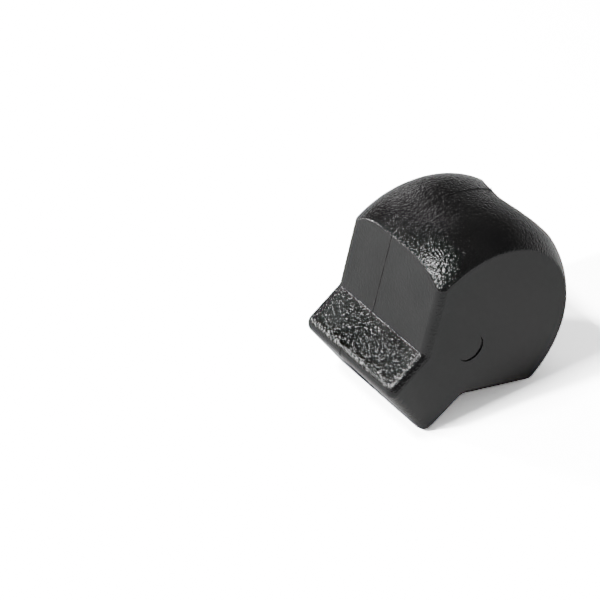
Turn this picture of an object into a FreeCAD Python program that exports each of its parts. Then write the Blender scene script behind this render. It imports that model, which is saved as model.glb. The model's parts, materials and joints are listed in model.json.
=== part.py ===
import FreeCAD, Part
import math
import os

# Wheel chock: one solid moulding in black plastic, bolted down through a counterbored hole.
#
# Frame, in millimetres:
#   +Z runs up, from the foot to the crown of the head, as the bolt hole does
#   X  is square to the two flat sides
#   Y  runs across the two notches
#   origin level with the foot's underside, below the middle of the head

# --- driving dimensions -----------------------------------------------------------------------

WIDTH = 31.0              # between the two flat sides, along X

FOOT_WIDTH = 19.6         # along Y at the underside
FOOT_ROOT_WIDTH = 20.0    # along Y at the notch roots, a trace wider for the mould's draft
FOOT_CENTRE_Y = -1.8      # the foot is set a little towards -Y under the head
FOOT_HEIGHT = 11.4        # from the underside to the root of each notch
FOOT_EDGE_RADIUS = 2.4    # rounding of the long edges under the foot
FRONT_WALL_ANGLE = 47.0   # notch wall on the -Y side, degrees above the horizontal
BACK_WALL_ANGLE = 41.5    # notch wall on the +Y side, where the head reaches further out
FRONT_ROOT_RADIUS = 0.8   # fillet where the foot meets the notch wall on the -Y side
BACK_ROOT_RADIUS = 2.5    # the same on the +Y side
SIDE_EDGE_RADIUS = 2.0    # rounding along the flat sides, round the foot and the notch walls

HEAD_CENTRE_Z = 25.2      # height of the head's centre where it is widest, at x = SEAM_X
HEAD_RADIUS_MIDDLE = 25.0 # radius of the crowned head at x = SEAM_X
HEAD_RADIUS_SIDE = 21.9   # radius of the head where it meets the flat sides
HEAD_CENTRE_DROP = 1.5    # how much lower the head's centre is at the flat sides
CROWN_POWER = 3.7         # how both fall off: 2 is a plain arc, more is fuller
SEAM_X = -2.7             # plane where the mould parts: the two mould halves aren't equally deep
HEAD_EDGE_RADIUS = 0.7    # edge between the head and the flat sides or notch walls

HOLE_X = -1.0                 # the bolt hole's axis stands a little off the middle of the width
HOLE_Y = -0.9                 # and half way between the middle of the head and that of the foot
BOLT_HOLE_DIAMETER = 11.0     # clears an M10 bolt
COUNTERBORE_DIAMETER = 18.8   # takes the bolt's head
COUNTERBORE_FLOOR_Z = 28.2    # height of the shoulder that the bolt head clamps
MOUTH_RADIUS = 0.5            # rounding of the counterbore's mouth
HOLE_EDGE_RADIUS = 0.4        # rounding of the bolt hole at the shoulder and under the foot

EJECTOR_MARK_DIAMETER = 6.6   # round witness mark on each flat side
EJECTOR_MARK_DEPTH = 0.25
EJECTOR_MARK_Z = 19.8

# --- derived values ---------------------------------------------------------------------------

HALF_WIDTH = WIDTH / 2
HALF_FOOT = FOOT_WIDTH / 2
HALF_ROOT = FOOT_ROOT_WIDTH / 2
CROWN_STATIONS = 4            # sections of the head on either side of its widest one
HEAD_FROM_Z = FOOT_HEIGHT + 2.0   # the head shapes the body above this height only
CLEAR = 5.0                   # how far cutting tools run past the body
TOUCH = 0.01                  # two points this close count as one when edges are picked
NEAR_HEAD = 0.2               # edges this close to the head's surface lie on it


def crown_fall(x):
    """How far the head has fallen off at x: 0 at the parting plane, 1 at either flat side."""
    depth = HALF_WIDTH - SEAM_X if x > SEAM_X else HALF_WIDTH + SEAM_X
    return (abs(x - SEAM_X) / depth) ** CROWN_POWER


def head_radius(x):
    return HEAD_RADIUS_MIDDLE - (HEAD_RADIUS_MIDDLE - HEAD_RADIUS_SIDE) * crown_fall(x)


def head_centre(x):
    return FreeCAD.Vector(x, 0, HEAD_CENTRE_Z - HEAD_CENTRE_DROP * crown_fall(x))


def edges_where(shape, test):
    """Edges of a shape whose midpoint passes the test."""
    chosen = []
    for edge in shape.Edges:
        middle = edge.valueAt((edge.FirstParameter + edge.LastParameter) / 2)
        if test(middle):
            chosen.append(edge)
    return chosen


def make_stem():
    """Foot and flaring neck as one bar along X, its flat sides' edges already rounded."""
    reach = HEAD_RADIUS_MIDDLE + CLEAR
    flare_y = HALF_ROOT + reach
    front_z = FOOT_HEIGHT + reach * math.tan(math.radians(FRONT_WALL_ANGLE))
    back_z = FOOT_HEIGHT + reach * math.tan(math.radians(BACK_WALL_ANGLE))
    top_z = HEAD_CENTRE_Z + reach
    outline = [
        (-HALF_FOOT, 0),
        (HALF_FOOT, 0),
        (HALF_ROOT, FOOT_HEIGHT),
        (flare_y, back_z),
        (flare_y, top_z),
        (-flare_y, top_z),
        (-flare_y, front_z),
        (-HALF_ROOT, FOOT_HEIGHT),
    ]
    points = [FreeCAD.Vector(-HALF_WIDTH, FOOT_CENTRE_Y + y, z) for y, z in outline]
    face = Part.Face(Part.makePolygon(points + points[:1]))
    bar = face.extrude(FreeCAD.Vector(WIDTH, 0, 0))

    def front_root(middle):
        at_root = abs(middle.x) < TOUCH and abs(middle.z - FOOT_HEIGHT) < TOUCH
        return at_root and middle.y < FOOT_CENTRE_Y

    def back_root(middle):
        at_root = abs(middle.x) < TOUCH and abs(middle.z - FOOT_HEIGHT) < TOUCH
        return at_root and middle.y > FOOT_CENTRE_Y

    def under_foot(middle):
        return abs(middle.x) < TOUCH and abs(middle.z) < TOUCH

    bar = bar.makeFillet(FRONT_ROOT_RADIUS, edges_where(bar, front_root))
    bar = bar.makeFillet(BACK_ROOT_RADIUS, edges_where(bar, back_root))
    bar = bar.makeFillet(FOOT_EDGE_RADIUS, edges_where(bar, under_foot))

    def on_flat_side(middle):
        in_outline = abs(middle.y - FOOT_CENTRE_Y) < flare_y - TOUCH and middle.z < top_z - TOUCH
        return abs(abs(middle.x) - HALF_WIDTH) < TOUCH and in_outline

    return bar.makeFillet(SIDE_EDGE_RADIUS, edges_where(bar, on_flat_side))


def make_head():
    """Crowned head, lofted through circles that shrink and sink towards the flat sides."""
    across = FreeCAD.Vector(1, 0, 0)
    downwards = FreeCAD.Vector(0, 0, -1)
    sections = []
    for i in range(-CROWN_STATIONS, CROWN_STATIONS + 1):
        side_x = HALF_WIDTH if i > 0 else -HALF_WIDTH
        x = SEAM_X + (side_x - SEAM_X) * abs(i) / CROWN_STATIONS
        circle = Part.Circle(head_centre(x), across, head_radius(x))
        circle.XAxis = downwards
        sections.append(Part.Wire([circle.toShape()]))
    return Part.makeLoft(sections, True)


def make_blank():
    """The moulding before its holes: the stem, with the head as its upper limit."""
    stem = make_stem()
    size = 4 * HEAD_RADIUS_MIDDLE
    below = Part.makeBox(size, size, HEAD_FROM_Z, FreeCAD.Vector(-size / 2, -size / 2, 0))
    above = Part.makeBox(size, size, size, FreeCAD.Vector(-size / 2, -size / 2, HEAD_FROM_Z))
    head = stem.common(above).common(make_head())
    blank = head.fuse(stem.common(below)).removeSplitter()

    def on_head(middle):
        centre = head_centre(middle.x)
        reach = math.hypot(middle.y, middle.z - centre.z)
        return abs(reach - head_radius(middle.x)) < NEAR_HEAD and middle.z > HEAD_FROM_Z

    return blank.makeFillet(HEAD_EDGE_RADIUS, edges_where(blank, on_head))


def drill(blank):
    """Bolt hole, counterbore and the small roundings at their edges."""
    up = FreeCAD.Vector(0, 0, 1)
    top_z = HEAD_CENTRE_Z + HEAD_RADIUS_MIDDLE + CLEAR
    underside = FreeCAD.Vector(HOLE_X, HOLE_Y, -CLEAR)
    shoulder = FreeCAD.Vector(HOLE_X, HOLE_Y, COUNTERBORE_FLOOR_Z)
    hole = Part.makeCylinder(BOLT_HOLE_DIAMETER / 2, top_z + CLEAR, underside, up)
    counterbore = Part.makeCylinder(
        COUNTERBORE_DIAMETER / 2, top_z - COUNTERBORE_FLOOR_Z, shoulder, up)
    body = blank.cut(hole).cut(counterbore)

    def on_cylinder(middle, diameter):
        from_axis = math.hypot(middle.x - HOLE_X, middle.y - HOLE_Y)
        return abs(from_axis - diameter / 2) < TOUCH

    def mouth(middle):
        above_shoulder = middle.z > COUNTERBORE_FLOOR_Z + CLEAR
        return above_shoulder and on_cylinder(middle, COUNTERBORE_DIAMETER)

    def hole_end(middle):
        at_end = middle.z < TOUCH or abs(middle.z - COUNTERBORE_FLOOR_Z) < TOUCH
        return at_end and on_cylinder(middle, BOLT_HOLE_DIAMETER)

    body = body.makeFillet(MOUTH_RADIUS, edges_where(body, mouth))
    return body.makeFillet(HOLE_EDGE_RADIUS, edges_where(body, hole_end))


def press_ejector_marks(body):
    """Shallow round mark on each flat side, where the mould's pins pushed the part out."""
    for side in (-1, 1):
        mark_x = side * (HALF_WIDTH - EJECTOR_MARK_DEPTH)
        start = FreeCAD.Vector(mark_x, FOOT_CENTRE_Y, EJECTOR_MARK_Z)
        outwards = FreeCAD.Vector(side, 0, 0)
        pin = Part.makeCylinder(EJECTOR_MARK_DIAMETER / 2, CLEAR, start, outwards)
        body = body.cut(pin)
    return body


chock_body = press_ejector_marks(drill(make_blank()))
solid = chock_body.Solids[0]

print("solids", len(chock_body.Solids), "valid", solid.isValid(), "volume", round(solid.Volume))
box = solid.BoundBox
print("x %.2f %.2f  y %.2f %.2f  z %.2f %.2f" % (
    box.XMin, box.XMax, box.YMin, box.YMax, box.ZMin, box.ZMax))

os.makedirs("parts", exist_ok=True)
solid.exportStep("parts/chock_body.step")
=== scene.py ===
# %% [markdown]
# # A moulded wheel chock
#
# The chock is one solid moulding in black plastic: a crowned, barrel-shaped head on a block foot,
# with a V notch at each side and a stepped bolt hole from crown to foot. The CAD model already
# holds that shape. What it doesn't hold is what the mould leaves on every real part: a pebbled
# skin, a thin raised line where the two mould halves met, and scraps of flash at the end of that
# line. Those are made here, and the shape itself is carried over unchanged.

import bmesh
import bpy
import json
import math
from mathutils import Matrix, Vector, noise


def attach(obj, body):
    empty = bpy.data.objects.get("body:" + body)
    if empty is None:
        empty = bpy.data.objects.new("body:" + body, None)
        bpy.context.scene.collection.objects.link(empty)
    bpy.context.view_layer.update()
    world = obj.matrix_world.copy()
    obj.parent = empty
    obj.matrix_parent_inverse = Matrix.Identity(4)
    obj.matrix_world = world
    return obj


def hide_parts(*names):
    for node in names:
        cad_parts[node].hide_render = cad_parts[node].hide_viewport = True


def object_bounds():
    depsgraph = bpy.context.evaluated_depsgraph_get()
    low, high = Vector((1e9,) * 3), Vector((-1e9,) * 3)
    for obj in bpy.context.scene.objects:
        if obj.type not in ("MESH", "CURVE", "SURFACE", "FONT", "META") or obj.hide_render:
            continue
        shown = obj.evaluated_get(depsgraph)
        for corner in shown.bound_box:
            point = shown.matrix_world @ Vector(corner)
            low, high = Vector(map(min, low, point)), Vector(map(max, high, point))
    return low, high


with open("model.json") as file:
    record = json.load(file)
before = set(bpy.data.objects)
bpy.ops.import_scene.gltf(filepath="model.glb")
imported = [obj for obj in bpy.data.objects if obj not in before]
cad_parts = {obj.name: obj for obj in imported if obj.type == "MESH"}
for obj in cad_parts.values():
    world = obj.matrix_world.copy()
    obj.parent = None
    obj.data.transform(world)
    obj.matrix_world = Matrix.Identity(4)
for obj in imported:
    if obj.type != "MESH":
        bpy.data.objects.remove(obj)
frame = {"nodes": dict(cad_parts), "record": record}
cad_low, cad_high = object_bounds()
cad_size = cad_high - cad_low
print("CAD box, mm:", [round(1000 * v, 2) for v in cad_size])

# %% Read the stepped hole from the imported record
MM = 0.001
mounts = {mount["name"]: mount for mount in frame["record"]["mounts"]}
bolt_hole = mounts["bolt_hole"]
counterbore = mounts["head_counterbore"]

hole_x, hole_y = bolt_hole["pos_m"][:2]
hole_radius = bolt_hole["dims"]["r_mm"] * MM
counterbore_radius = counterbore["dims"]["r_mm"] * MM
counterbore_floor = counterbore["pos_m"][2] - counterbore["dims"]["length_mm"] * MM / 2
print("hole axis at x %.1f, y %.1f mm" % (hole_x / MM, hole_y / MM))
print("shoulder at z %.1f mm" % (counterbore_floor / MM))

# %% [markdown]
# ## The camera
#
# The camera is made first, because everything that follows is judged through it. It is a long
# lens, nearly 0.8 m away, turned so that the chock seems to lie on its side: the notch and the
# foot to the left, one flat side towards the lens. The chock could be turned over instead, but it
# has to stay in its own frame. So the camera is placed by three vectors in that frame: where it
# stands, where it looks, and which way is up in the picture.

# %% Camera
CAMERA_PLACE = Vector((0.46892, -0.62851, -0.02636))
CAMERA_LOOK = Vector((-0.6203, 0.7834, 0.0376)).normalized()
CAMERA_UP = Vector((-0.5152, -0.4431, 0.7337))
CAMERA_LENS = 219.05
SENSOR_WIDTH = 36.0
CLIP_NEAR, CLIP_FAR = 0.01, 20.0


def make_camera():
    """A camera from its place, its look and its up, with no shift and no depth of field."""
    data = bpy.data.cameras.new("camera")
    data.lens = CAMERA_LENS
    data.sensor_width = SENSOR_WIDTH
    data.clip_start = CLIP_NEAR
    data.clip_end = CLIP_FAR
    camera = bpy.data.objects.new("camera", data)
    bpy.context.scene.collection.objects.link(camera)
    right = CAMERA_LOOK.cross(CAMERA_UP).normalized()
    up = right.cross(CAMERA_LOOK)
    turn = Matrix((right, up, -CAMERA_LOOK)).transposed()
    camera.matrix_world = Matrix.Translation(CAMERA_PLACE) @ turn.to_4x4()
    bpy.context.scene.camera = camera
    return right, up


picture_right, picture_up = make_camera()
print("camera stands %.0f mm from the chock" % (CAMERA_PLACE.length / MM))

# %% [markdown]
# ## The black plastic
#
# The mould is textured inside, so the plastic comes out with a fine pebble grain, about half a
# millimetre across. In soft light the grain can't be seen, and the part looks satin grey. Where a
# lamp is mirrored, each pebble catches it for itself and the surface sparkles. A painted pattern
# couldn't do that, so the grain is relief for the shader: pebbles and a wrinkle between them go
# into one bump. The notch walls and flat sides are smoother, and the bolt hole is nearly smooth.
# The piece carries that as a number on each face, named grain.

# %% Small helpers for node trees
def add_node(tree, kind, place=(0, 0), **settings):
    """Adds a node at a place in the editor and sets the node's own settings."""
    node = tree.nodes.new(kind)
    node.location = place
    for name, value in settings.items():
        setattr(node, name, value)
    return node


def join(tree, output, entry):
    tree.links.new(output, entry)


def math_node(tree, operation, first, second, place=(0, 0)):
    """A Math node whose two inputs may each be a number or another node's output."""
    node = add_node(tree, "ShaderNodeMath", place, operation=operation)
    for i, value in enumerate((first, second)):
        if isinstance(value, (int, float)):
            node.inputs[i].default_value = value
        else:
            join(tree, value, node.inputs[i])
    return node.outputs[0]


print("node helpers: add_node, join, math_node")

# %% Colour and gloss
PLASTIC_COLOUR = (0.006, 0.006, 0.0061, 1.0)
PLASTIC_WORN = (0.012, 0.012, 0.0122, 1.0)
WORN_FROM, WORN_TO = 0.35, 0.85
CLOUD_SCALE = 140.0
GLOSS_FROM, GLOSS_TO = 0.2, 0.8
ROUGHNESS_LOW, ROUGHNESS_HIGH = 0.15, 0.26


def add_colour_and_gloss(tree, where, shader):
    """Nearly even, but a little paler and duller in soft cloudy patches, as from handling."""
    cloud = add_node(tree, "ShaderNodeTexNoise", (-900, 400))
    cloud.inputs["Scale"].default_value = CLOUD_SCALE
    cloud.inputs["Detail"].default_value = 4.0
    join(tree, where, cloud.inputs["Vector"])
    colour = add_node(tree, "ShaderNodeValToRGB", (-600, 400))
    fresh, worn = colour.color_ramp.elements
    fresh.position, fresh.color = WORN_FROM, PLASTIC_COLOUR
    worn.position, worn.color = WORN_TO, PLASTIC_WORN
    join(tree, cloud.outputs["Fac"], colour.inputs["Fac"])
    join(tree, colour.outputs["Color"], shader.inputs["Base Color"])

    gloss = add_node(tree, "ShaderNodeMapRange", (0, 150))
    gloss.inputs["From Min"].default_value = GLOSS_FROM
    gloss.inputs["From Max"].default_value = GLOSS_TO
    gloss.inputs["To Min"].default_value = ROUGHNESS_LOW
    gloss.inputs["To Max"].default_value = ROUGHNESS_HIGH
    join(tree, cloud.outputs["Fac"], gloss.inputs["Value"])
    join(tree, gloss.outputs["Result"], shader.inputs["Roughness"])


print("roughness from", ROUGHNESS_LOW, "to", ROUGHNESS_HIGH)

# %% Pebbled relief
PEBBLE_SIZE = 0.44 * MM
GRAIN_HEIGHT = 0.085 * MM
PEBBLE_SOFTNESS = 0.35
STIR_SCALE = 0.6       # the noise that pushes the pebbles out of line, in waves per pebble
STIR_REACH = 0.9       # how far it pushes them, in pebbles
WRINKLE_SCALE = 0.8    # the wrinkle between the pebbles, in waves per pebble


def add_noise(tree, where, scale, detail, place):
    noise_node = add_node(tree, "ShaderNodeTexNoise", place)
    noise_node.inputs["Scale"].default_value = scale
    noise_node.inputs["Detail"].default_value = detail
    join(tree, where, noise_node.inputs["Vector"])
    return noise_node


def add_relief(tree, where, grain, shader):
    """Rounded cells out of line and a wrinkle, scaled by the face's grain number, as a bump."""
    stir = add_noise(tree, where, STIR_SCALE / PEBBLE_SIZE, 2.0, (-1250, -150))
    offset = add_node(tree, "ShaderNodeVectorMath", (-1050, -150), operation="MULTIPLY_ADD")
    join(tree, stir.outputs["Color"], offset.inputs[0])
    offset.inputs[1].default_value = (STIR_REACH * PEBBLE_SIZE,) * 3
    join(tree, where, offset.inputs[2])
    pebbles = add_node(tree, "ShaderNodeTexVoronoi", (-850, -100), feature="SMOOTH_F1")
    pebbles.inputs["Scale"].default_value = 1 / PEBBLE_SIZE
    pebbles.inputs["Smoothness"].default_value = PEBBLE_SOFTNESS
    join(tree, offset.outputs[0], pebbles.inputs["Vector"])
    wrinkle = add_noise(tree, where, WRINKLE_SCALE / PEBBLE_SIZE, 1.0, (-850, -350))
    wrinkle.inputs["Roughness"].default_value = 0.6
    relief = math_node(tree, "MULTIPLY", pebbles.outputs["Distance"], -1.0, (-600, -100))
    relief = math_node(tree, "ADD", relief, wrinkle.outputs["Fac"], (-400, -200))
    relief = math_node(tree, "MULTIPLY", relief, grain, (-200, -200))
    bump = add_node(tree, "ShaderNodeBump", (300, -250))
    bump.inputs["Strength"].default_value = 1.0
    bump.inputs["Distance"].default_value = GRAIN_HEIGHT
    join(tree, relief, bump.inputs["Height"])
    join(tree, bump.outputs["Normal"], shader.inputs["Normal"])


print("pebbles %.2f mm across" % (PEBBLE_SIZE / MM))

# %% Black plastic
def make_black_plastic():
    material = bpy.data.materials.new("black_plastic")
    material.use_nodes = True
    tree = material.node_tree
    tree.nodes.clear()
    out = add_node(tree, "ShaderNodeOutputMaterial", (900, 0))
    shader = add_node(tree, "ShaderNodeBsdfPrincipled", (600, 0))
    join(tree, shader.outputs[0], out.inputs[0])
    shader.inputs["IOR"].default_value = 1.5
    shader.inputs["Specular IOR Level"].default_value = 0.5
    where = add_node(tree, "ShaderNodeTexCoord", (-1500, 0)).outputs["Object"]
    grain = add_node(tree, "ShaderNodeAttribute", (-1500, -500), attribute_name="grain")
    add_colour_and_gloss(tree, where, shader)
    add_relief(tree, where, grain.outputs["Fac"], shader)
    return material


black_plastic = make_black_plastic()
print("black plastic:", len(black_plastic.node_tree.nodes), "nodes")

# %% [markdown]
# ## The moulding
#
# The CAD node is loose triangles, so a copy of it is merged into one skin before anything is
# done to it. Two things are added. Edges that turn by more than a set angle are marked sharp,
# and a weighted-normal modifier lets the big flat faces win over the narrow roundings beside
# them, so that flats look flat and roundings look round. A bevel modifier could round the edges
# too, but the CAD model has its own roundings already, and they are the true ones. Then each face
# gets its grain number, from where it is and which way it faces.

# %% Copy and merge the CAD node
MERGE_DISTANCE = 0.001 * MM
SHARP_ANGLE = math.radians(34)
NORMAL_WEIGHT = 80


def copy_cad_node(name):
    """The CAD node's mesh as a bmesh, with its doubles merged."""
    mesh = bmesh.new()
    mesh.from_mesh(frame["nodes"][name].data)
    before = len(mesh.verts)
    bmesh.ops.remove_doubles(mesh, verts=mesh.verts, dist=MERGE_DISTANCE)
    print(name, "vertices:", before, "->", len(mesh.verts), "faces:", len(mesh.faces))
    return mesh


def mark_sharp(mesh):
    """Smooth shading everywhere, broken where two faces meet at more than the sharp angle."""
    for face in mesh.faces:
        face.smooth = True
    sharp = 0
    for edge in mesh.edges:
        turned = len(edge.link_faces) == 2 and edge.calc_face_angle() > SHARP_ANGLE
        edge.smooth = not turned
        sharp += turned
    print("sharp edges:", sharp)


# %% Grain number for each face
GRAIN_FULL = 1.0
GRAIN_WALL = 0.35
GRAIN_FLAT = 0.15
GRAIN_BORE = 0.06
BORE_SKIN = 0.05 * MM      # a face this far outside the bore's wall still belongs to it
FACES_AXIS = -0.3          # a bore's wall looks back at the axis
LIES_LEVEL = 0.9           # the shoulder looks straight up
LIES_FLAT = 0.98           # the flat sides look along X
LOOKS_DOWN = 0.5           # the notch walls look down, and out along Y


def grain_of(face):
    """How much of the pebble grain a face keeps, from where it is and which way it faces."""
    centre = face.calc_center_median()
    from_axis = Vector((centre.x - hole_x, centre.y - hole_y, 0.0))
    radius = from_axis.length
    outwards = from_axis.normalized().dot(face.normal)
    above_shoulder = centre.z > counterbore_floor - MM
    in_counterbore = above_shoulder and radius < counterbore_radius + BORE_SKIN
    in_hole = radius < hole_radius + BORE_SKIN
    inner = outwards < FACES_AXIS or face.normal.z > LIES_LEVEL
    if (in_counterbore or in_hole) and inner:
        return GRAIN_BORE
    if abs(face.normal.x) > LIES_FLAT:
        return GRAIN_FLAT
    if face.normal.z < -LOOKS_DOWN and abs(face.normal.y) > LOOKS_DOWN:
        return GRAIN_WALL
    return GRAIN_FULL


def write_grain(mesh):
    layer = mesh.faces.layers.float.new("grain")
    tally = {}
    for face in mesh.faces:
        value = grain_of(face)
        face[layer] = value
        tally[value] = tally.get(value, 0) + 1
    print("faces by grain:", tally)


# %% Build the moulding
def make_moulding():
    mesh = copy_cad_node("chock_body")
    mark_sharp(mesh)
    write_grain(mesh)
    data = bpy.data.meshes.new("chock_moulding")
    mesh.to_mesh(data)
    mesh.free()
    data.materials.append(black_plastic)
    piece = bpy.data.objects.new("chock_moulding", data)
    bpy.context.scene.collection.objects.link(piece)
    weighted = piece.modifiers.new("weighted", "WEIGHTED_NORMAL")
    weighted.keep_sharp = True
    weighted.weight = NORMAL_WEIGHT
    return piece


moulding = make_moulding()
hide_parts("chock_body")
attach(moulding, "root")

# %% [markdown]
# ## The parting line
#
# Where the two halves of the mould meet, a little plastic creeps into the joint and leaves a
# raised line, about a tenth of a millimetre high, all the way round the part. A curve drawn by
# hand would never quite lie on the skin. The line lies in one plane, so its path is found, not
# drawn: a cut through the moulding at that plane gives the path exactly. A Geometry Nodes tree
# then runs a thin bead along it. The bead's thickness wanders, because the mould doesn't close
# equally tight everywhere. The bore was made by a core pin that stood across the joint, so the
# path stops at the rim of the counterbore and at the hole under the foot.

# %% Find the path of the parting line
SEAM_X = -2.7 * MM
SHOULDER_SKIN = 0.2 * MM   # a point this far below the shoulder still belongs to it


def in_bore(co):
    """Inside the stepped hole, on its walls, or on its shoulder."""
    radius = math.hypot(co.x - hole_x, co.y - hole_y)
    above_shoulder = co.z > counterbore_floor - SHOULDER_SKIN
    limit = counterbore_radius if above_shoulder else hole_radius
    return radius < limit + BORE_SKIN


def make_seam_path():
    """The outline of the moulding in its parting plane, as a mesh of edges only."""
    mesh = copy_cad_node("chock_body")
    cut = bmesh.ops.bisect_plane(
        mesh, geom=mesh.verts[:] + mesh.edges[:] + mesh.faces[:], dist=MERGE_DISTANCE,
        plane_co=(SEAM_X, 0, 0), plane_no=(1, 0, 0))
    on_seam = {item for item in cut["geom_cut"] if isinstance(item, bmesh.types.BMVert)}
    bmesh.ops.delete(mesh, geom=[v for v in mesh.verts if v not in on_seam], context="VERTS")
    off_plane = [e for e in mesh.edges if any(v not in on_seam for v in e.verts)]
    bmesh.ops.delete(mesh, geom=off_plane, context="EDGES")
    bmesh.ops.delete(mesh, geom=mesh.faces[:], context="FACES_ONLY")
    bmesh.ops.delete(mesh, geom=[v for v in mesh.verts if in_bore(v.co)], context="VERTS")
    length = sum(edge.calc_length() for edge in mesh.edges)
    print("parting line: %d points, %.0f mm long" % (len(mesh.verts), length / MM))
    data = bpy.data.meshes.new("parting_line")
    mesh.to_mesh(data)
    mesh.free()
    return data


# %% The tree that runs a bead along a path
BEAD_RADIUS = 0.13 * MM
BEAD_SPACING = 0.35 * MM
BEAD_WANDER = 0.75
BEAD_SEED = 7.0
BEAD_SIDES = 8
WANDER_SCALE = 420.0   # how quickly the thickness changes, in waves per metre
WANDER_GAIN = 3.0      # stretches the noise, which stays near its middle
BEAD_MEAN = 0.8        # mean thickness, as a share of the bead's radius


def make_bead_tree():
    """Geometry Nodes: a path of edges in, a thin uneven bead out."""
    tree = bpy.data.node_groups.new("parting_bead", "GeometryNodeTree")
    face = tree.interface
    face.new_socket("Geometry", in_out="INPUT", socket_type="NodeSocketGeometry")
    for name in ("Bead radius", "Spacing", "Wander", "Seed"):
        face.new_socket(name, in_out="INPUT", socket_type="NodeSocketFloat")
    face.new_socket("Material", in_out="INPUT", socket_type="NodeSocketMaterial")
    face.new_socket("Geometry", in_out="OUTPUT", socket_type="NodeSocketGeometry")
    given = add_node(tree, "NodeGroupInput", (-900, 0)).outputs
    path = add_node(tree, "GeometryNodeMeshToCurve", (-700, 0))
    join(tree, given["Geometry"], path.inputs["Mesh"])
    even = add_node(tree, "GeometryNodeResampleCurve", (-500, 0), mode="LENGTH")
    join(tree, path.outputs[0], even.inputs["Curve"])
    join(tree, given["Spacing"], even.inputs["Length"])

    noise_place = add_node(tree, "GeometryNodeInputPosition", (-700, -300))
    wander = add_node(tree, "ShaderNodeTexNoise", (-500, -300), noise_dimensions="4D")
    wander.inputs["Scale"].default_value = WANDER_SCALE
    wander.inputs["Detail"].default_value = 3.0
    join(tree, noise_place.outputs[0], wander.inputs["Vector"])
    join(tree, given["Seed"], wander.inputs["W"])
    centred = math_node(tree, "SUBTRACT", wander.outputs["Fac"], 0.5, (-300, -300))
    spread = math_node(tree, "MULTIPLY", centred, given["Wander"], (-150, -300))
    spread = math_node(tree, "MULTIPLY", spread, WANDER_GAIN, (0, -300))
    factor = math_node(tree, "ADD", spread, BEAD_MEAN, (150, -300))

    profile = add_node(tree, "GeometryNodeCurvePrimitiveCircle", (-300, 200))
    profile.inputs["Resolution"].default_value = BEAD_SIDES
    join(tree, given["Bead radius"], profile.inputs["Radius"])
    bead = add_node(tree, "GeometryNodeCurveToMesh", (300, 0))
    join(tree, even.outputs[0], bead.inputs["Curve"])
    join(tree, profile.outputs[0], bead.inputs["Profile Curve"])
    join(tree, factor, bead.inputs["Scale"])
    bead.inputs["Fill Caps"].default_value = True
    real = add_node(tree, "GeometryNodeRealizeInstances", (500, 0))
    join(tree, bead.outputs[0], real.inputs[0])
    paint = add_node(tree, "GeometryNodeSetMaterial", (700, 0))
    join(tree, real.outputs[0], paint.inputs["Geometry"])
    join(tree, given["Material"], paint.inputs["Material"])
    out = add_node(tree, "NodeGroupOutput", (900, 0))
    join(tree, paint.outputs[0], out.inputs[0])
    return tree


def set_inputs(modifier, values):
    """Sets a Geometry Nodes modifier's inputs by name, through each socket's identifier."""
    for item in modifier.node_group.interface.items_tree:
        if item.item_type == "SOCKET" and item.in_out == "INPUT" and item.name in values:
            modifier[item.identifier] = values[item.name]


# %% Run the bead and keep it as a plain mesh
def to_plain_mesh(source, name):
    """The evaluated object's mesh as a new object; the source and its modifier are removed."""
    graph = bpy.context.evaluated_depsgraph_get()
    data = bpy.data.meshes.new_from_object(source.evaluated_get(graph), depsgraph=graph)
    bpy.data.objects.remove(source)
    data.name = name
    piece = bpy.data.objects.new(name, data)
    bpy.context.scene.collection.objects.link(piece)
    return piece


def keep_in_box(data):
    """Presses a mesh back into the CAD box, so that a raised line adds nothing to the size."""
    for vertex in data.vertices:
        for axis in range(3):
            vertex.co[axis] = min(max(vertex.co[axis], cad_low[axis]), cad_high[axis])


def make_parting_line():
    path = bpy.data.objects.new("parting_path", make_seam_path())
    bpy.context.scene.collection.objects.link(path)
    modifier = path.modifiers.new("bead", "NODES")
    modifier.node_group = make_bead_tree()
    set_inputs(modifier, {
        "Bead radius": BEAD_RADIUS,
        "Spacing": BEAD_SPACING,
        "Wander": BEAD_WANDER,
        "Seed": BEAD_SEED,
        "Material": black_plastic,
    })
    line = to_plain_mesh(path, "parting_line")
    keep_in_box(line.data)
    for polygon in line.data.polygons:
        polygon.use_smooth = True
    print("bead faces:", len(line.data.polygons))
    return line


parting_line = make_parting_line()
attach(parting_line, "root")

# %% [markdown]
# ## Scraps of flash
#
# At the counterbore's rim and at the foot's lower edge, a small torn fin is left on the parting
# line. A bump can't show it, because it stands out from the outline, so each is a thin blade of
# its own. Its free edge is made ragged by a noise, and it is rooted a little way inside the
# moulding so that it grows out of the line.

# %% Torn fins at the ends of the line
FIN_THICKNESS = 0.16 * MM
FIN_STEPS = 9
FIN_ROOT = 0.4         # how deep a fin is rooted, as a share of its height
FIN_TAPER = 0.4        # thickness of its free edge, as a share of that at the root
FIN_SWELL = 0.6        # below 1 the fin rises steeply at its ends
TORN_MEAN, TORN_SPREAD = 0.65, 0.7


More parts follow.
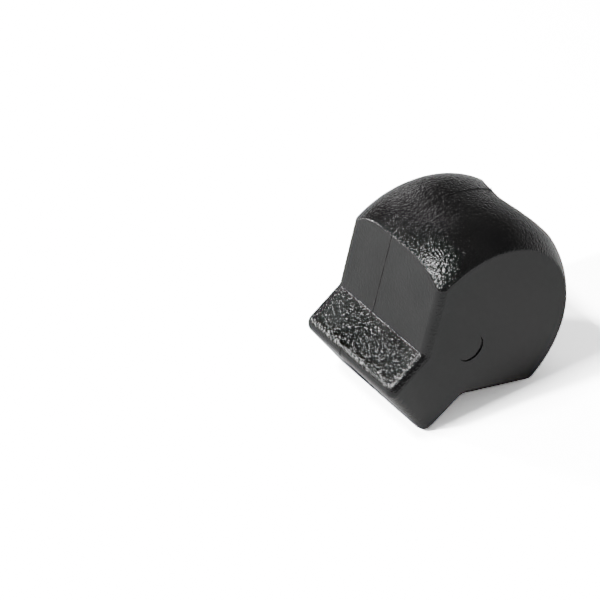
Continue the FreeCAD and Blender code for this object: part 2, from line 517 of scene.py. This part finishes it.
def make_fin(name, root, along, out, length, height):
    """A torn blade in the parting plane: along is its root's direction, out is its rise."""
    along, out = Vector(along).normalized(), Vector(out).normalized()
    mesh = bmesh.new()
    low, high = [], []
    for i in range(FIN_STEPS):
        t = i / (FIN_STEPS - 1)
        swell = math.sin(math.pi * t) ** FIN_SWELL
        torn = TORN_MEAN + TORN_SPREAD * noise.noise(Vector((9.0 * t, 3.1, root[1] / MM)))
        foot = Vector(root) + along * (length * (t - 0.5)) - out * (FIN_ROOT * height)
        low.append(foot)
        high.append(foot + out * (FIN_ROOT * height + height * swell * torn))
    half = Vector((FIN_THICKNESS / 2, 0, 0))
    rings = []
    for bottom, top in zip(low, high):
        ring = [bottom - half, bottom + half, top + FIN_TAPER * half, top - FIN_TAPER * half]
        rings.append([mesh.verts.new(co) for co in ring])
    for first, second in zip(rings, rings[1:]):
        for i in range(4):
            j = (i + 1) % 4
            mesh.faces.new((first[i], first[j], second[j], second[i]))
    mesh.faces.new(rings[0])
    mesh.faces.new(list(reversed(rings[-1])))
    bmesh.ops.recalc_face_normals(mesh, faces=mesh.faces)
    data = bpy.data.meshes.new(name)
    mesh.to_mesh(data)
    mesh.free()
    data.materials.append(black_plastic)
    keep_in_box(data)
    fin = bpy.data.objects.new(name, data)
    bpy.context.scene.collection.objects.link(fin)
    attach(fin, "root")


# %% Place the four fins
RIM_FIN_LENGTH, RIM_FIN_HEIGHT = 1.3 * MM, 0.75 * MM
FOOT_FIN_LENGTH, FOOT_FIN_HEIGHT = 1.1 * MM, 0.3 * MM
FOOT_LEAN = 2.2        # how much being low counts against being far out, at the foot's edge


def rim_point(side):
    """Where the parting line meets the counterbore's rim, on the +Y or the -Y side."""
    ends = [v.co for v in parting_line.data.vertices if v.co.y * side > 0]
    return max(ends, key=lambda co: co.z)


def foot_point(side):
    """Where the parting line rounds the lower edge of the foot."""
    ends = [v.co for v in parting_line.data.vertices if v.co.y * side > 0]
    return max(ends, key=lambda co: side * co.y - FOOT_LEAN * co.z)


for side, word, size in ((-1, "front", 1.0), (1, "back", 0.7)):
    rim = rim_point(side)
    make_fin("rim_flash_" + word, (SEAM_X, rim.y, rim.z), (0, side, -0.3), (0, 0.25 * side, 1),
             RIM_FIN_LENGTH * size, RIM_FIN_HEIGHT * size)
    low = foot_point(side)
    make_fin("foot_flash_" + word, (SEAM_X, low.y, low.z), (0, 1, side), (0, side, -1),
             FOOT_FIN_LENGTH * size, FOOT_FIN_HEIGHT * size)
    print(word, "fins at", [round(v / MM, 1) for v in rim], [round(v / MM, 1) for v in low])

# %% [markdown]
# ## The studio
#
# The chock lies on its side on a white sweep. It rests on the edge of its foot and on the crease
# of its head, so the floor is the plane that touches both. The sweep is white everywhere around.
# The key softbox hangs high at the camera's left shoulder, one stands at the left and a small one
# between them lights the edges, and a wide dim one hangs over the chock. The floor is seen only
# from its upper side, so that the chock can be looked at from anywhere.

# %% Find the plane that the chock rests on
FOOT_SHARE = 0.1       # the lowest tenth of the chock is foot for certain
HEAD_SHARE = 0.3       # and everything above this share of its height is head
LEAST_TILT, MOST_TILT = math.radians(5), math.radians(80)
HALVINGS = 40


def support_height(down, keep):
    """How far the chock reaches along a direction, over the vertices that pass a test."""
    return max(v.co.dot(down) for v in moulding.data.vertices if keep(v.co))


def resting_direction():
    """The way that is down, in the chock's frame, when it lies on its foot and its crease."""
    foot_top = cad_low.z + FOOT_SHARE * cad_size.z
    head_bottom = cad_low.z + HEAD_SHARE * cad_size.z
    low, high = LEAST_TILT, MOST_TILT
    for _ in range(HALVINGS):
        tilt = (low + high) / 2
        down = Vector((0.0, math.cos(tilt), -math.sin(tilt)))
        foot = support_height(down, lambda co: co.z < foot_top)
        head = support_height(down, lambda co: co.z > head_bottom)
        if foot > head:
            high = tilt
        else:
            low = tilt
    return down, max(foot, head), tilt


down, floor_distance, tilt = resting_direction()
print("the chock lies back by %.1f degrees" % (90 - math.degrees(tilt)))

# %% Floor
FLOOR_REACH = 1.6
FLOOR_TONE = (0.66, 0.66, 0.66, 1.0)     # what the floor gives back to the chock
FLOOR_SEEN = (12.5, 12.5, 12.5, 1.0)     # what the eye sees of it: burnt out to white


def make_floor():
    """A wide disc in the resting plane, its upper side towards the chock."""
    turn = (-down).to_track_quat("Z", "X").to_matrix().to_4x4()
    mesh = bmesh.new()
    place = Matrix.Translation(down * floor_distance) @ turn
    bmesh.ops.create_circle(mesh, cap_ends=True, segments=64, radius=FLOOR_REACH, matrix=place)
    data = bpy.data.meshes.new("floor")
    mesh.to_mesh(data)
    mesh.free()
    floor = bpy.data.objects.new("floor", data)
    bpy.context.scene.collection.objects.link(floor)
    if data.polygons[0].normal.dot(down) > 0:
        data.flip_normals()
    return floor


# %% Floor material
def make_floor_material():
    """Burnt-out white for the eye, pale grey for the light, and clear from below."""
    material = bpy.data.materials.new("white_sweep")
    material.use_nodes = True
    tree = material.node_tree
    tree.nodes.clear()
    out = add_node(tree, "ShaderNodeOutputMaterial", (600, 0))
    mix = add_node(tree, "ShaderNodeMixShader", (400, 0))
    geometry = add_node(tree, "ShaderNodeNewGeometry", (0, 200))
    paint = add_node(tree, "ShaderNodeBsdfDiffuse", (0, 0))
    clear = add_node(tree, "ShaderNodeBsdfTransparent", (0, -200))
    seen = add_node(tree, "ShaderNodeLightPath", (-600, 0))
    tone = add_node(tree, "ShaderNodeMix", (-200, 0), data_type="RGBA")
    tone.inputs["A"].default_value = FLOOR_TONE
    tone.inputs["B"].default_value = FLOOR_SEEN
    join(tree, seen.outputs["Is Camera Ray"], tone.inputs["Factor"])
    join(tree, tone.outputs["Result"], paint.inputs["Color"])
    join(tree, geometry.outputs["Backfacing"], mix.inputs[0])
    join(tree, paint.outputs[0], mix.inputs[1])
    join(tree, clear.outputs[0], mix.inputs[2])
    join(tree, mix.outputs[0], out.inputs[0])
    return material


floor = make_floor()
floor.data.materials.append(make_floor_material())
print("floor is %.1f mm below the chock's origin" % (floor_distance / MM))

# %% World
WORLD_HORIZON = 0.72
WORLD_ZENITH = 0.10
WORLD_SEEN = 16.0
FADE_FROM, FADE_TO = 0.02, 0.42     # sine of the height above the horizon


def make_world():
    """White at the horizon and dimmer overhead for the light, plain white for the eye."""
    world = bpy.data.worlds.new("studio")
    world.use_nodes = True
    tree = world.node_tree
    tree.nodes.clear()
    out = add_node(tree, "ShaderNodeOutputWorld", (800, 0))
    mix = add_node(tree, "ShaderNodeMixShader", (600, 0))
    lit = add_node(tree, "ShaderNodeBackground", (300, 100))
    seen = add_node(tree, "ShaderNodeBackground", (300, -100))
    seen.inputs["Strength"].default_value = WORLD_SEEN
    way = add_node(tree, "ShaderNodeTexCoord", (-600, 0)).outputs["Generated"]
    height = add_node(tree, "ShaderNodeVectorMath", (-400, 0), operation="DOT_PRODUCT")
    height.inputs[1].default_value = -down
    join(tree, way, height.inputs[0])
    fade = add_node(tree, "ShaderNodeMapRange", (-200, 0), interpolation_type="SMOOTHSTEP")
    fade.inputs["From Min"].default_value = FADE_FROM
    fade.inputs["From Max"].default_value = FADE_TO
    fade.inputs["To Min"].default_value = WORLD_HORIZON
    fade.inputs["To Max"].default_value = WORLD_ZENITH
    join(tree, height.outputs["Value"], fade.inputs["Value"])
    join(tree, fade.outputs["Result"], lit.inputs["Strength"])
    path = add_node(tree, "ShaderNodeLightPath", (300, 300))
    join(tree, path.outputs["Is Camera Ray"], mix.inputs[0])
    join(tree, lit.outputs[0], mix.inputs[1])
    join(tree, seen.outputs[0], mix.inputs[2])
    join(tree, mix.outputs[0], out.inputs[0])
    bpy.context.scene.world = world


make_world()
print("world: %.2f at the horizon, %.2f overhead" % (WORLD_HORIZON, WORLD_ZENITH))

# %% Softboxes
SOFTBOXES = (
    # name, place (right, up, back) in metres, width, height, watts
    ("key_softbox", (-0.33, 0.46, 0.58), 0.20, 0.12, 5.2),
    ("left_softbox", (-0.69, 0.28, 0.02), 0.08, 0.12, 3.9),
    ("edge_softbox", (-0.52, 0.21, 0.54), 0.04, 0.05, 4.2),
    ("top_softbox", (-0.30, 0.95, -0.30), 0.60, 0.30, 1.5),
)


def make_softbox(name, place, width, height, power):
    """A rectangular area light at a place given in the camera's directions, facing the chock."""
    data = bpy.data.lights.new(name, "AREA")
    data.shape = "RECTANGLE"
    data.size = width
    data.size_y = height
    data.energy = power
    lamp = bpy.data.objects.new(name, data)
    bpy.context.scene.collection.objects.link(lamp)
    right, up, back = place
    lamp.location = target + picture_right * right + picture_up * up - CAMERA_LOOK * back
    lamp.rotation_mode = "QUATERNION"
    lamp.rotation_quaternion = (target - lamp.location).to_track_quat("-Z", "Y")


target = (cad_low + cad_high) / 2
for softbox in SOFTBOXES:
    make_softbox(*softbox)
    print("%s: %.1f W" % (softbox[0], softbox[-1]))
